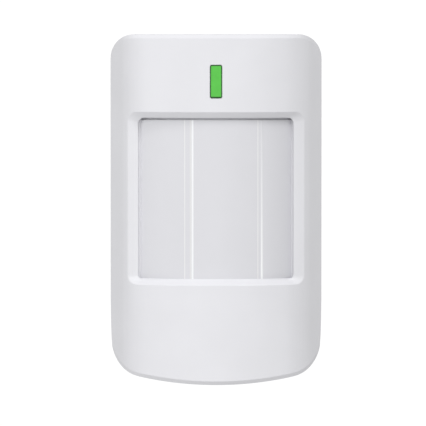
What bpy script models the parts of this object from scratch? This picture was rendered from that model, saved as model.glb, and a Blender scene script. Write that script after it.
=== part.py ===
"""Wall-mounted passive infrared motion sensor, built from its separate pieces.

Numbers in the helpers are millimetres. X is to the right, the front faces -Y, Z is up, and the origin
is the centre of the flat back face that rests on the wall.
"""

from math import acos, atan, cos, pi, radians, sin, sqrt

import bmesh
import bpy
from mathutils import Matrix, Vector

MM = 0.001

# Outline seen from the front.
HALF_WIDTH = 30.45
HALF_HEIGHT = 50.0
TOP_CORNER = 6.9
ARCH_RADIUS = 118.0
BOTTOM_CORNER = 9.6
TAPER_RADIUS = 245.0
TAPER_START = 23.6

# Section seen from above.
DEPTH = 44.0
FRONT_RADIUS = 45.0
AXIS_Y = FRONT_RADIUS - DEPTH
CREASE_X = 25.3
CREASE_ROUNDING = 15.0
STRIP_SLOPE = 2.7
SIDE_ROUNDING = 2.0
PARTING_Y = -14.0
PARTING_GAP = 0.3
BACK_CHAMFER = 10.0
WALL = 2.0
EDGE_CHAMFER = 1.1
LEAST_STEP = 0.08

SIDES = ((-1, "left"), (1, "right"))

# Tongue of the housing that locates the cover.
LIP_OUTER = 1.35
LIP_FRONT = -17.0
REBATE = 1.0
REBATE_FRONT = -17.5

# Lens window, from its outer edge on the front face to its opening.
WINDOW_OUTER = (25.3, -21.55, 27.8, 2.6)
WINDOW_OPENING = (22.15, -20.05, 26.1, 1.6)
BEVEL_DEPTH = 1.7
LENS_RADIUS = 38.0
LENS_AXIS_Y = -3.7
LENS_THICKNESS = 0.6
LENS_HALF_WIDTH = 23.1
LENS_LOW = -21.4
LENS_HIGH = 27.3
LENS_SEAT_X = 21.2
CLAMP_THICKNESS = 1.8

# Hooks by which the cover hangs in the housing's top wall, and the slots that they go through.
TAB_NEAR = 12.0
TAB_FAR = 19.0
TAB_TOP = HALF_HEIGHT - 2.3
TAB_THICKNESS = 1.5
SLOT_CLEARANCE = 0.5

# Indicator window.
SLOT_HALF_WIDTH = 1.7
SLOT_LOW = 31.85
SLOT_HIGH = 41.25
PIPE_GAP = 0.2

# Cover screw and its fork.
SCREW_Y = -22.0
SHANK_RADIUS = 1.2
FORK_LOW = -43.0
FORK_HIGH = -41.0

# Circuit board and what stands on it.
BOARD_FRONT = -10.0
BOARD_THICKNESS = 1.6
BOARD_LOW = -38.5
BOARD_HIGH = 42.0
BOARD_HALF_WIDTH = 24.5
SEAT = BOARD_FRONT - 0.3
SCREW_SPOTS = {"left": (-18.0, 24.0), "right": (18.0, -13.0)}
PEG_SPOTS = ((18.0, 24.0), (-18.0, -13.0))
SENSOR_Z = 3.5
INDICATOR_Z = 36.5
TAMPER_X = 15.0
TAMPER_Z = 34.0
BUTTON_X = -15.0
BUTTON_Z = 34.0
BATTERY_Y = -20.6
BATTERY_Z = -27.8
BATTERY_RADIUS = 8.5
JUMPER_X = -19.0
JUMPER_Z = 8.0
PIN_PITCH = 2.54
PIN_HALF = 0.32


def clear_scene():
    for thing in list(bpy.data.objects):
        bpy.data.objects.remove(thing)


def finish(name, colour, roughness, metallic=0.0):
    """A plain surface finish."""
    made = bpy.data.materials.new(name)
    made.use_nodes = True
    surface = made.node_tree.nodes["Principled BSDF"]
    surface.inputs["Base Color"].default_value = (*colour, 1.0)
    surface.inputs["Roughness"].default_value = roughness
    surface.inputs["Metallic"].default_value = metallic
    return made


def add_mesh(name, shape, origin=(0, 0, 0)):
    """Puts a bmesh in the scene, with its object's origin where a moving piece turns or slides."""
    bmesh.ops.recalc_face_normals(shape, faces=shape.faces)
    shape.transform(Matrix.Translation(-Vector(origin)))
    shape.transform(Matrix.Scale(MM, 4))
    mesh = bpy.data.meshes.new(name)
    shape.to_mesh(mesh)
    shape.free()
    thing = bpy.data.objects.new(name, mesh)
    thing.location = Vector(origin) * MM
    bpy.context.scene.collection.objects.link(thing)
    return thing


def loft(name, rings, origin=(0, 0, 0)):
    """Closed solid through a row of rings, each with the same number of points."""
    shape = bmesh.new()
    rows = [[shape.verts.new(point) for point in ring] for ring in rings]
    count = len(rows[0])
    for row, following in zip(rows, rows[1:]):
        for i in range(count):
            j = (i + 1) % count
            shape.faces.new((row[i], row[j], following[j], following[i]))
    shape.faces.new(rows[0])
    shape.faces.new(rows[-1])
    return add_mesh(name, shape, origin)


def box(name, low, high, origin=(0, 0, 0)):
    (x0, y0, z0), (x1, y1, z1) = low, high
    return loft(
        name,
        [
            [(x0, y0, z), (x1, y0, z), (x1, y1, z), (x0, y1, z)]
            for z in (z0, z1)
        ],
        origin,
    )


def turned(name, start, direction, profile, sides=32, origin=(0, 0, 0)):
    """Solid of revolution: the profile lists (distance along the axis, radius)."""
    turn = Vector(direction).to_track_quat("Z", "Y")
    rings = []
    for along, radius in profile:
        ring = []
        for i in range(sides):
            angle = 2 * pi * i / sides
            spoke = Vector((radius * cos(angle), radius * sin(angle), along))
            ring.append(Vector(start) + turn @ spoke)
        rings.append(ring)
    return loft(name, rings, origin)


def wire(name, path, radius, sides=8, origin=(0, 0, 0)):
    """Round wire along a list of points."""
    path = [Vector(point) for point in path]
    rings = []
    side = None
    for i, point in enumerate(path):
        ahead = path[min(i + 1, len(path) - 1)] - path[max(i - 1, 0)]
        ahead.normalize()
        if side is None:
            side = ahead.orthogonal()
        side = (side - ahead * side.dot(ahead)).normalized()
        up = ahead.cross(side)
        ring = []
        for j in range(sides):
            angle = 2 * pi * j / sides
            ring.append(point + radius * (cos(angle) * side + sin(angle) * up))
        rings.append(ring)
    return loft(name, rings, origin)


def coil_path(centre, axis, radii, length, turns, steps=16):
    """Points of a coil that starts at centre and grows along the axis, from the first radius to the last."""
    turn = Vector(axis).to_track_quat("Z", "Y")
    first, last = radii
    path = []
    for i in range(int(turns * steps) + 1):
        part = i / (turns * steps)
        angle = 2 * pi * turns * part
        radius = first + (last - first) * part
        spoke = Vector((radius * cos(angle), radius * sin(angle), length * part))
        path.append(Vector(centre) + turn @ spoke)
    return path


def combine(target, operation, *helpers):
    """Cuts the helpers from the target, or joins them to it, and keeps them as hidden guides."""
    for helper in helpers:
        helper.hide_render = True
        helper.display_type = "WIRE"
        step = target.modifiers.new(operation.lower() + "_" + helper.name, "BOOLEAN")
        step.operation = operation
        step.solver = "EXACT"
        step.object = helper
    return target


def cut(target, *helpers):
    return combine(target, "DIFFERENCE", *helpers)


def join(target, *helpers):
    return combine(target, "UNION", *helpers)


def inner_front_y(x, inset):
    """Depth of the front's inner side: a cylinder in the middle and a steep flat strip at each side."""
    x = abs(x)
    crease_y = AXIS_Y - sqrt(FRONT_RADIUS**2 - CREASE_X**2)
    strip = crease_y + STRIP_SLOPE * (x - CREASE_X) + inset * sqrt(1 + STRIP_SLOPE**2)
    if x > CREASE_X:
        return strip
    return max(strip, AXIS_Y - sqrt((FRONT_RADIUS - inset) ** 2 - x**2))


def front_curve():
    """Centres of the curves along the crease and the side edge, where each curve ends, and its slopes."""
    slant = sqrt(1 + STRIP_SLOPE**2)
    lean = atan(STRIP_SLOPE)
    crease_y = AXIS_Y - sqrt(FRONT_RADIUS**2 - CREASE_X**2)
    strip_reach = (CREASE_X * STRIP_SLOPE - crease_y) / slant
    near = FRONT_RADIUS - CREASE_ROUNDING
    turn = lean - acos((strip_reach - CREASE_ROUNDING + AXIS_Y / slant) / near)
    crease = Vector((near * sin(turn), AXIS_Y - near * cos(turn)))
    side_x = HALF_WIDTH - SIDE_ROUNDING
    side = Vector((side_x, STRIP_SLOPE * side_x - slant * (strip_reach - SIDE_ROUNDING)))
    ends = (
        FRONT_RADIUS * sin(turn),
        crease.x + CREASE_ROUNDING * sin(lean),
        side.x + SIDE_ROUNDING * sin(lean),
    )
    return crease, side, ends, turn, lean


def front_y(x):
    """Depth of the front: a cylinder, a wide rounded crease, a steep strip and a rounded side edge."""
    x = abs(x)
    crease, side, ends, _, lean = front_curve()
    if x <= ends[0]:
        return AXIS_Y - sqrt(FRONT_RADIUS**2 - x**2)
    if x <= ends[1]:
        return crease.y - sqrt(CREASE_ROUNDING**2 - (x - crease.x) ** 2)
    if x <= ends[2]:
        return crease.y - CREASE_ROUNDING * cos(lean) + STRIP_SLOPE * (x - ends[1])
    return side.y - sqrt(max(SIDE_ROUNDING**2 - (x - side.x) ** 2, 0))


def top_z(x, inset):
    beyond = max(abs(x) - (HALF_WIDTH - TOP_CORNER), 0)
    return HALF_HEIGHT - TOP_CORNER + sqrt(max((TOP_CORNER - inset) ** 2 - beyond**2, 0))


def bottom_arcs():
    """Centres of the three arcs of the lower edge, which meet smoothly: arch, corner and side taper."""
    arch = Vector((0, ARCH_RADIUS - HALF_HEIGHT))
    taper = Vector((HALF_WIDTH - TAPER_RADIUS, TAPER_START - HALF_HEIGHT))
    near = ARCH_RADIUS - BOTTOM_CORNER
    far = TAPER_RADIUS - BOTTOM_CORNER
    between = taper - arch
    along = (near**2 - far**2 + between.length_squared) / (2 * between.length)
    across = sqrt(near**2 - along**2)
    ahead = between.normalized()
    corner = arch + along * ahead + across * Vector((-ahead.y, ahead.x))
    return arch, corner, taper


def bottom_z(x, inset):
    x = abs(x)
    arch, corner, taper = bottom_arcs()
    arch_end = (arch + (corner - arch).normalized() * (ARCH_RADIUS - inset)).x
    corner_end = (taper + (corner - taper).normalized() * (TAPER_RADIUS - inset)).x
    if x <= arch_end:
        centre, radius = arch, ARCH_RADIUS
    elif x <= corner_end:
        centre, radius = corner, BOTTOM_CORNER
    else:
        centre, radius = taper, TAPER_RADIUS
    return centre.y - sqrt(max((radius - inset) ** 2 - (x - centre.x) ** 2, 0))


def stations(inset, front=False):
    """X positions of the body's sections, closer together where its corners and its front turn."""
    half_width = HALF_WIDTH - inset
    corner_start = 21.0
    half = [corner_start * i / 7 for i in range(1, 7)]
    half += [corner_start + (half_width - corner_start) * sin(radians(9 * i)) for i in range(11)]
    if front:
        crease, side, _, turn, lean = front_curve()
        half += [crease.x + CREASE_ROUNDING * sin(turn + (lean - turn) * i / 5) for i in range(6)]
        half += [side.x + SIDE_ROUNDING * sin(lean + (pi / 2 - lean) * i / 3) for i in range(3)]
    half.sort()
    kept = []
    for x in half:
        if not kept or x - kept[-1] > LEAST_STEP:
            kept.append(x)
    kept[-1] = half_width
    return [-x for x in reversed(kept)] + [0.0] + kept


def body_form(name, inset, near, far, chamfer=0.0):
    """Solid with the body's outline moved in by inset, between two depths that depend on x."""
    rings = []
    for x in stations(inset, front=chamfer > 0):
        low, high = bottom_z(x, inset), top_z(x, inset)
        front, back = near(x), far(x)
        if chamfer:
            rings.append(
                [
                    (x, back, high),
                    (x, front + chamfer, high),
                    (x, front, high - chamfer),
                    (x, front, low + chamfer),
                    (x, front + chamfer, low),
                    (x, back, low),
                ]
            )
        else:
            rings.append([(x, back, high), (x, front, high), (x, front, low), (x, back, low)])
    return loft(name, rings)


def curved_sheet(name, radius, thickness, half_width, low, high):
    """Sheet bent round the lens's upright axis."""
    rings = []
    steps = 24
    for i in range(steps + 1):
        x = half_width * (2 * i / steps - 1)
        near = LENS_AXIS_Y - sqrt(radius**2 - x**2)
        far = LENS_AXIS_Y - sqrt((radius - thickness) ** 2 - x**2)
        rings.append([(x, near, high), (x, near, low), (x, far, low), (x, far, high)])
    return loft(name, rings)


def window_loop(half_width, low, high, radius):
    """Rounded rectangle in x and z, with points along its long edges to follow the curved front."""
    loop = []
    corners = (
        (half_width - radius, high - radius, 0),
        (-half_width + radius, high - radius, 90),
        (-half_width + radius, low + radius, 180),
        (half_width - radius, low + radius, 270),
    )
    for x, z, first in corners:
        for i in range(7):
            angle = radians(first + 15 * i)
            loop.append((x + radius * cos(angle), z + radius * sin(angle)))
        if first in (0, 180):
            span = 2 * (half_width - radius)
            step = span / 12 if first == 180 else -span / 12
            edge_z = high if first == 0 else low
            loop += [(x + step * i, edge_z) for i in range(1, 12)]
    return loop


def window_cutter():
    """The bevelled frame and the opening behind it, as one solid to take away."""
    outer = window_loop(*WINDOW_OUTER)
    opening = window_loop(*WINDOW_OPENING)

    def ring(part):
        points = []
        for (x0, z0), (x1, z1) in zip(opening, outer):
            x, z = x0 + part * (x1 - x0), z0 + part * (z1 - z0)
            seat_y = AXIS_Y - sqrt((FRONT_RADIUS - BEVEL_DEPTH) ** 2 - x**2)
            points.append((x, front_y(x) + (1 - part) * (seat_y - front_y(x)), z))
        return points

    edge, seat = ring(1.35), ring(0)
    return loft(
        "window_cutter",
        [
            [(x, -60, z) for x, y, z in edge],
            edge,
            ring(1),
            seat,
            [(x, -30, z) for x, y, z in seat],
        ],
    )


def lens_seats():
    """Rib behind each upright edge of the window, which the lens rests on."""
    low, high = WINDOW_OPENING[1] - 0.6, WINDOW_OPENING[2] + 0.5
    seats = []
    for side, tag in SIDES:
        x0, x1 = sorted((LENS_SEAT_X * side, 23.6 * side))
        seats.append(box("lens_seat_" + tag, (x0, -36.1, low), (x1, -35.3, high)))
    return seats


def hinge_tabs():
    """The two hooks by which the cover hangs in the housing's top wall."""
    pieces = []
    low = TAB_TOP - TAB_THICKNESS
    for side, tag in SIDES:
        x0, x1 = sorted((TAB_NEAR * side, TAB_FAR * side))
        pieces.append(box("tab_hanger_" + tag, (x0, -20.5, low), (x1, -18.0, HALF_HEIGHT - 1.4)))
        pieces.append(box("tab_arm_" + tag, (x0, -20.4, low), (x1, -9.6, TAB_TOP)))
        pieces.append(box("tab_nib_" + tag, (x0, -11.8, TAB_TOP - 0.5), (x1, -10.2, HALF_HEIGHT - 1.2)))
    return pieces


def front_cover(plastic):
    cover = body_form("front_cover", 0, front_y, lambda x: PARTING_Y - PARTING_GAP, EDGE_CHAMFER)
    hollow = body_form("cover_hollow", WALL, lambda x: inner_front_y(x, WALL), lambda x: -5)
    rebate = body_form("cover_rebate", REBATE, lambda x: REBATE_FRONT, lambda x: -4)
    slot = box("slot_cutter", (-SLOT_HALF_WIDTH, -50, SLOT_LOW), (SLOT_HALF_WIDTH, -36, SLOT_HIGH))
    rib = box("tamper_rib", (13.5, -40.3, 32.5), (16.5, -20.3, 35.5))
    boss = turned("screw_boss", (0, SCREW_Y, -49.3), (0, 0, 1), [(0, 4.0), (2.9, 4.0)])
    head_room = turned("screw_counterbore", (0, SCREW_Y, -53), (0, 0, 1), [(0, 2.9), (5.4, 2.9)])
    clearance = turned("screw_clearance", (0, SCREW_Y, -52), (0, 0, 1), [(0, 1.5), (9, 1.5)])
    cut(cover, hollow, rebate, window_cutter(), slot)
    join(cover, rib, boss, *lens_seats(), *hinge_tabs())
    cut(cover, head_room, clearance)
    cover.data.materials.append(plastic)
    return cover


def lens(plastic):
    sheet = curved_sheet("lens", LENS_RADIUS, LENS_THICKNESS, LENS_HALF_WIDTH, LENS_LOW, LENS_HIGH)
    sheet.data.materials.append(plastic)
    return sheet


def lens_clamp(plastic):
    radius = LENS_RADIUS - LENS_THICKNESS - 0.3
    clamp = curved_sheet(
        "lens_clamp", radius, CLAMP_THICKNESS, LENS_HALF_WIDTH - 0.9, LENS_LOW - 1.0, LENS_HIGH + 1.0
    )
    half_width, low, high, _ = WINDOW_OPENING
    opening = box("clamp_opening", (-half_width + 2, -50, low + 1), (half_width - 2, -20, high - 1))
    cut(clamp, opening)
    clamp.data.materials.append(plastic)
    return clamp


def light_pipe(plastic):
    half_width = SLOT_HALF_WIDTH - PIPE_GAP
    low, high = SLOT_LOW + PIPE_GAP, SLOT_HIGH - PIPE_GAP
    pipe = box("light_pipe", (-half_width, -43.9, low), (half_width, -14.8, high))
    flange = box("pipe_flange", (-2.6, -41.6, low - 0.9), (2.6, -40.4, high + 0.9))
    join(pipe, flange)
    pipe.data.materials.append(plastic)
    return pipe


def cover_screw(steel):
    origin = (0, SCREW_Y, -49.4)
    screw = turned(
        "cover_screw",
        origin,
        (0, 0, 1),
        [(0, 2.1), (0.4, 2.5), (1.5, 2.5), (1.5, SHANK_RADIUS), (8.1, SHANK_RADIUS), (8.5, 0.8)],
        origin=origin,
    )
    slots = [
        box("screw_slot_x", (-1.4, SCREW_Y - 0.25, -50), (1.4, SCREW_Y + 0.25, -48.8)),
        box("screw_slot_y", (-0.25, SCREW_Y - 1.4, -50), (0.25, SCREW_Y + 1.4, -48.81)),
    ]
    cut(screw, *slots)
    screw.data.materials.append(steel)
    return screw


def screw_ring(plastic):
    """Ring on the screw's shank that keeps it in the cover when it is backed out."""
    ring = turned("screw_ring", (0, SCREW_Y, -44.2), (0, 0, 1), [(0, 2.1), (0.5, 2.1)])
    hole = turned("screw_ring_hole", (0, SCREW_Y, -46), (0, 0, 1), [(0, 1.28), (4, 1.28)])
    cut(ring, hole)
    ring.data.materials.append(plastic)
    return ring


def fork():
    """Slotted lug that the cover screw grips, on two ribs."""
    plate = box("fork_plate", (-6, -25.5, FORK_LOW), (6, -1.8, FORK_HIGH))
    ribs = [
        box("fork_rib_" + tag, (x, -13.7, -48.5), (x + 1.4, -1.7, FORK_LOW + 0.5))
        for tag, x in (("left", -5.9), ("right", 4.5))
    ]
    return [plate, *ribs]


def wall_knockouts():
    """Thin spots in the back and in the two corner faces, broken through for the wall screws."""
    spots = []
    for tag, z in (("upper", 30.0), ("lower", -26.0)):
        spots.append(turned("knockout_" + tag, (0, -1.2, z), (0, 1, 0), [(0, 2.4), (4, 2.4)]))
    face_x = HALF_WIDTH - BACK_CHAMFER / 2
    for side, tag in SIDES:
        out = Vector((side, 1, 0)).normalized()
        for level, z in (("upper", 22.0), ("lower", -22.0)):
            start = Vector((side * face_x, -BACK_CHAMFER / 2, z)) - 1.2 * out
            spots.append(turned("corner_knockout_" + tag + "_" + level, start, out, [(0, 2.4), (4, 2.4)]))
    return spots


def housing_shell():
    """Back half with its corner faces and, standing out of its rim, the tongue that the cover fits over."""

    def back(x):
        return -max(abs(x) - (HALF_WIDTH - BACK_CHAMFER), 0)

    def inner_back(x):
        return min(-WALL, back(x) - (sqrt(2) - 1) * WALL - WALL)

    shell = body_form("rear_housing", 0, lambda x: PARTING_Y, back)
    tongue = body_form("housing_tongue", LIP_OUTER, lambda x: LIP_FRONT, lambda x: PARTING_Y + 1)
    hollow = body_form("housing_hollow", WALL, lambda x: -25, inner_back)
    join(shell, tongue)
    return cut(shell, hollow)


def hook_openings():
    """Slots in the top wall for the cover's hooks, and the gaps in the tongue above them."""
    openings = []
    for side, tag in SIDES:
        x0, x1 = sorted(((TAB_NEAR - SLOT_CLEARANCE) * side, (TAB_FAR + SLOT_CLEARANCE) * side))
        openings.append(box("tongue_gap_" + tag, (x0, -19, 44), (x1, PARTING_Y + 0.1, 52)))
        openings.append(box("hook_slot_" + tag, (x0, -13.2, 45), (x1, -9.5, 53)))
    return openings


def add_board_posts(housing):
    """Two posts that the board is screwed to and two plain pegs that it rests on."""
    start, length = -1.7, 6.4
    for tag, (x, z) in SCREW_SPOTS.items():
        post = turned("post_" + tag, (x, start, z), (0, -1, 0), [(0, 3.0), (length, 3.0)], 24)
        hole = turned("post_hole_" + tag, (x, -3.0, z), (0, -1, 0), [(0, 1.4), (8, 1.4)], 16)
        join(housing, post)
        cut(housing, hole)
    for i, (x, z) in enumerate(PEG_SPOTS):
        join(housing, turned(f"peg_{i}", (x, start, z), (0, -1, 0), [(0, 2.5), (length, 2.5)], 20))


def rear_housing(plastic):
    housing = housing_shell()
    cut(housing, *hook_openings())
    join(housing, *fork())
    cut(housing, box("fork_notch", (-1.6, -28, -44), (1.6, -20.2, -40)))
    add_board_posts(housing)
    cut(housing, *wall_knockouts())
    housing.data.materials.append(plastic)
    return housing


def circuit_board(laminate):
    back = BOARD_FRONT + BOARD_THICKNESS
    board = box(
        "circuit_board",
        (-BOARD_HALF_WIDTH, BOARD_FRONT, BOARD_LOW),
        (BOARD_HALF_WIDTH, back, BOARD_HIGH),
    )
    for tag, (x, z) in SCREW_SPOTS.items():
        cut(board, turned("board_hole_" + tag, (x, -12, z), (0, 1, 0), [(0, 1.5), (5, 1.5)], 20))
    board.data.materials.append(laminate)
    return board


def board_screw(side, steel):
    x, z = SCREW_SPOTS[side]
    screw = turned(
        "board_screw_" + side,
        (x, BOARD_FRONT - 2.2, z),
        (0, 1, 0),
        [(0, 1.7), (0.5, 2.4), (1.9, 2.4), (1.9, 1.1), (7.6, 1.1), (8.4, 0.5)],
        24,
    )
    slots = [
        box(f"board_screw_slot_{side}_x", (x - 1.3, -13, z - 0.25), (x + 1.3, -11.5, z + 0.25)),
        box(f"board_screw_slot_{side}_z", (x - 0.25, -13, z - 1.3), (x + 0.25, -11.51, z + 1.3)),
    ]
    cut(screw, *slots)
    screw.data.materials.append(steel)
    return screw


def infrared_sensor(plastic, tin, silicon):
    """Metal-can detector with its filter window, on a plastic spacer."""
    spacer = turned("sensor_spacer", (0, SEAT, SENSOR_Z), (0, -1, 0), [(0, 5.2), (1.2, 5.2)])
    can = turned(
        "sensor_can",
        (0, SEAT - 1.5, SENSOR_Z),
        (0, -1, 0),
        [(0, 4.6), (0.5, 4.6), (0.5, 4.1), (3.9, 4.1), (4.2, 3.8)],
        40,
    )
    cut(can, box("sensor_opening", (-2.6, -18, SENSOR_Z - 2.1), (2.6, -15.2, SENSOR_Z + 2.1)))
    window = box("sensor_window", (-2.45, -15.9, SENSOR_Z - 1.95), (2.45, -15.35, SENSOR_Z + 1.95))
    spacer.data.materials.append(plastic)
    can.data.materials.append(tin)
    window.data.materials.append(silicon)
    return spacer, can, window


def indicator_led(resin):
    dome = [(3.9 * sin(radians(a)), 1.5 * cos(radians(a))) for a in (0, 30, 55, 75)]
    profile = [(0, 1.9), (1.0, 1.9), (1.0, 1.5)] + [(1.9 + d * 0.5, r) for d, r in dome]
    led = turned("indicator_led", (0, SEAT, INDICATOR_Z), (0, -1, 0), profile, 24)
    led.data.materials.append(resin)
    return led


def tamper_switch(plastic, actuator, steel):
    """Switch, spring and plunger that the cover's rib holds down."""
    x, z = TAMPER_X, TAMPER_Z
    body = box("tamper_switch", (x - 3, SEAT - 5, z - 3), (x + 3, SEAT, z + 3))
    cut(body, turned("tamper_bore", (x, SEAT - 0.6, z), (0, -1, 0), [(0, 1.7), (8, 1.7)], 24))
    origin = (x, -20.0, z)
    plunger = turned(
        "tamper_plunger",
        (x, -11.4, z),
        (0, -1, 0),
        [(0, 1.4), (7.6, 1.4), (7.6, 2.6), (8.3, 2.6), (8.6, 2.3)],
        24,
        origin,
    )
    spring = wire(
        "tamper_spring",
        coil_path((x, SEAT - 5.5, z), (0, -1, 0), (2.0, 2.0), 2.7, 4),
        0.2,
        6,
        origin,
    )
    body.data.materials.append(plastic)
    plunger.data.materials.append(actuator)
    spring.data.materials.append(steel)
    return body, plunger, spring


def test_button(plastic, actuator):
    x, z = BUTTON_X, BUTTON_Z
    body = box("test_switch", (x - 3, SEAT - 3.4, z - 3), (x + 3, SEAT, z + 3))
    cut(body, turned("button_bore", (x, SEAT - 1.2, z), (0, -1, 0), [(0, 1.95), (8, 1.95)], 24))
    origin = (x, SEAT - 4.9, z)
    button = turned(
        "test_button", (x, SEAT - 1.9, z), (0, -1, 0), [(0, 1.65), (2.8, 1.65), (3.0, 1.45)], 24, origin
    )
    body.data.materials.append(plastic)
    button.data.materials.append(actuator)
    return body, button


def jumper(plastic, cap_plastic):
    """Three-pin header and the cap that bridges two of its pins."""
    x, z = JUMPER_X, JUMPER_Z
    header = box("jumper_header", (x - 1.25, SEAT - 2.5, z - 3.81), (x + 1.25, SEAT, z + 3.81))
    for i in (-1, 0, 1):
        level = z + i * PIN_PITCH
        low = (x - PIN_HALF, -18.5, level - PIN_HALF)
        high = (x + PIN_HALF, -11, level + PIN_HALF)
        join(header, box(f"header_pin_{i + 1}", low, high))
    origin = (x, -19.2, z + PIN_PITCH / 2)
    middle = z + PIN_PITCH / 2
    cap = box("jumper_cap", (x - 1.2, -19.2, middle - 2.5), (x + 1.2, -13.1, middle + 2.5), origin)
    for i in (0, 1):
        level = z + i * PIN_PITCH
        cut(cap, box(f"cap_hole_{i}", (x - 0.6, -18.8, level - 0.6), (x + 0.6, -12, level + 0.6)))
    header.data.materials.append(plastic)
    cap.data.materials.append(cap_plastic)
    return header, cap


def battery(wrapper):
    cell = turned(
        "battery",
        (-16.9, BATTERY_Y, BATTERY_Z),
        (1, 0, 0),
        [(0, 8.0), (0.5, BATTERY_RADIUS), (32.6, BATTERY_RADIUS), (33.1, 8.0), (33.1, 3.2), (34.0, 3.0)],
        40,
    )
    cell.data.materials.append(wrapper)
    return cell


def battery_holder(plastic):
    y, z = BATTERY_Y, BATTERY_Z
    holder = box("battery_holder", (-21.4, -26.0, z - 10.2), (21.4, SEAT, z + 10.2))
    trough = turned("battery_trough", (-20.0, y, z), (1, 0, 0), [(0, 8.8), (40.0, 8.8)], 40)
    above = box("battery_opening", (-20.0, -40, z - 8.8), (20.0, y, z + 8.8))
    low_side = box("holder_side_low", (-20.0, -40, z - 12), (20.0, -18.5, z - 6))
    high_side = box("holder_side_high", (-20.0, -40, z + 6), (20.0, -18.5, z + 12))
    cut(holder, trough, above, low_side, high_side)
    holder.data.materials.append(plastic)
    return holder


def battery_contacts(steel):
    y, z = BATTERY_Y, BATTERY_Z
    positive = box("battery_contact_positive", (18.9, -25.5, z - 4), (19.3, y + 5.5, z + 4))
    bump = turned("contact_bump", (19.0, y, z), (-1, 0, 0), [(0, 2.6), (0.9, 2.2), (1.3, 1.4)], 20)
    join(positive, bump)
    negative = box("battery_contact_negative", (-19.7, -25.5, z - 4), (-19.3, y + 5.5, z + 4))
    spring = wire(
        "contact_spring",
        coil_path((-19.4, y, z), (1, 0, 0), (3.6, 2.2), 1.75, 2.5),
        0.28,
        6,
    )
    join(negative, spring)
    positive.data.materials.append(steel)
    negative.data.materials.append(steel)
    return positive, negative


def radio(laminate, tin, copper):
    board = box("radio_board", (5, SEAT - 0.8, 13.5), (18, SEAT, 26.5))
    shield = box("radio_shield", (6.2, SEAT - 3.2, 14.7), (16.8, SEAT - 1.1, 25.3))
    path = [(21.0, SEAT, -2.0), (21.0, -12.5, -2.0), (21.2, -14.2, -1.6), (22.2, -15.2, -0.9)]
    path += coil_path((20.4, -15.6, 0.0), (0, 0, 1), (2.4, 2.4), 19.0, 8, 14)
    antenna = wire("antenna", path, 0.4, 8)
    board.data.materials.append(laminate)
    shield.data.materials.append(tin)
    antenna.data.materials.append(copper)
    return board, shield, antenna


def small_parts(epoxy, aluminium, tin):
    """Controller, sensor amplifier, reservoir capacitor and crystal."""
    chip = box("controller_chip", (-14.5, SEAT - 1.2, 16.5), (-7.5, SEAT, 23.5))
    amplifier = box("amplifier_chip", (5.5, SEAT - 1.5, -11.0), (10.5, SEAT, -7.0))
    capacitor = turned(
        "capacitor", (-18, SEAT, -4.5), (0, -1, 0), [(0, 3.1), (1.2, 3.15), (7.2, 3.15), (7.6, 2.8)], 28
    )
    crystal = box("crystal", (-12.5, SEAT - 3.3, -10.0), (-3.0, SEAT, -6.0))
    chip.data.materials.append(epoxy)
    amplifier.data.materials.append(epoxy)
    capacitor.data.materials.append(aluminium)
    crystal.data.materials.append(tin)
    return chip, amplifier, capacitor, crystal


def shade_smooth(*things):
    for thing in things:
        for face in thing.data.polygons:
            face.use_smooth = True


def build():
    clear_scene()
    case_white = finish("case_white", (0.82, 0.82, 0.85), 0.38)
    lens_white = finish("lens_white", (0.80, 0.80, 0.82), 0.22)
    inner_white = finish("inner_white", (0.75, 0.75, 0.75), 0.5)
    green = finish("green_light_pipe", (0.10, 0.55, 0.09), 0.2)
    black = finish("black_plastic", (0.02, 0.02, 0.02), 0.45)
    red = finish("red_plastic", (0.55, 0.03, 0.02), 0.4)
    blue = finish("blue_plastic", (0.03, 0.08, 0.45), 0.4)
    laminate = finish("board_green", (0.02, 0.16, 0.06), 0.45)
    steel = finish("steel", (0.62, 0.62, 0.60), 0.3, 1.0)
    tin = finish("tin", (0.72, 0.71, 0.69), 0.35, 1.0)
    aluminium = finish("aluminium", (0.78, 0.78, 0.79), 0.35, 1.0)
    copper = finish("copper", (0.72, 0.40, 0.25), 0.3, 1.0)
    silicon = finish("silicon_filter", (0.09, 0.08, 0.10), 0.15, 0.6)
    resin = finish("led_resin", (0.55, 0.75, 0.55), 0.15)
    wrapper = finish("battery_wrapper", (0.35, 0.36, 0.38), 0.35)

    front_cover(case_white)
    lens(lens_white)
    lens_clamp(inner_white)
    light_pipe(green)
    rear_housing(case_white)
    circuit_board(laminate)
    battery_holder(black)
    battery_contacts(steel)
    radio_board, radio_shield, antenna = radio(laminate, tin, copper)
    chip, amplifier, capacitor, crystal = small_parts(black, aluminium, tin)
    test_switch, test_cap = test_button(black, inner_white)
    switch, plunger, spring = tamper_switch(black, red, steel)
    spacer, can, window = infrared_sensor(inner_white, tin, silicon)
    jumper(black, blue)
    shade_smooth(cover_screw(steel), screw_ring(black), battery(wrapper), indicator_led(resin))
    shade_smooth(board_screw("left", steel), board_screw("right", steel))
    shade_smooth(capacitor, antenna, spring, plunger, test_cap, can, spacer)


build()
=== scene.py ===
"""Looks of the wall-mounted motion sensor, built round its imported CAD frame.

Numbers are millimetres on the frame's own axes unless a comment says otherwise: X is to the right, the
front faces -Y and Z is up. A fine piece has the place of the CAD node that it stands for, and its size to
within a few tenths of a millimetre.
"""

from math import acos, asin, atan, cos, pi, radians, sin, sqrt, tan

import bmesh
import bpy
from mathutils import Matrix, Vector


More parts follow.
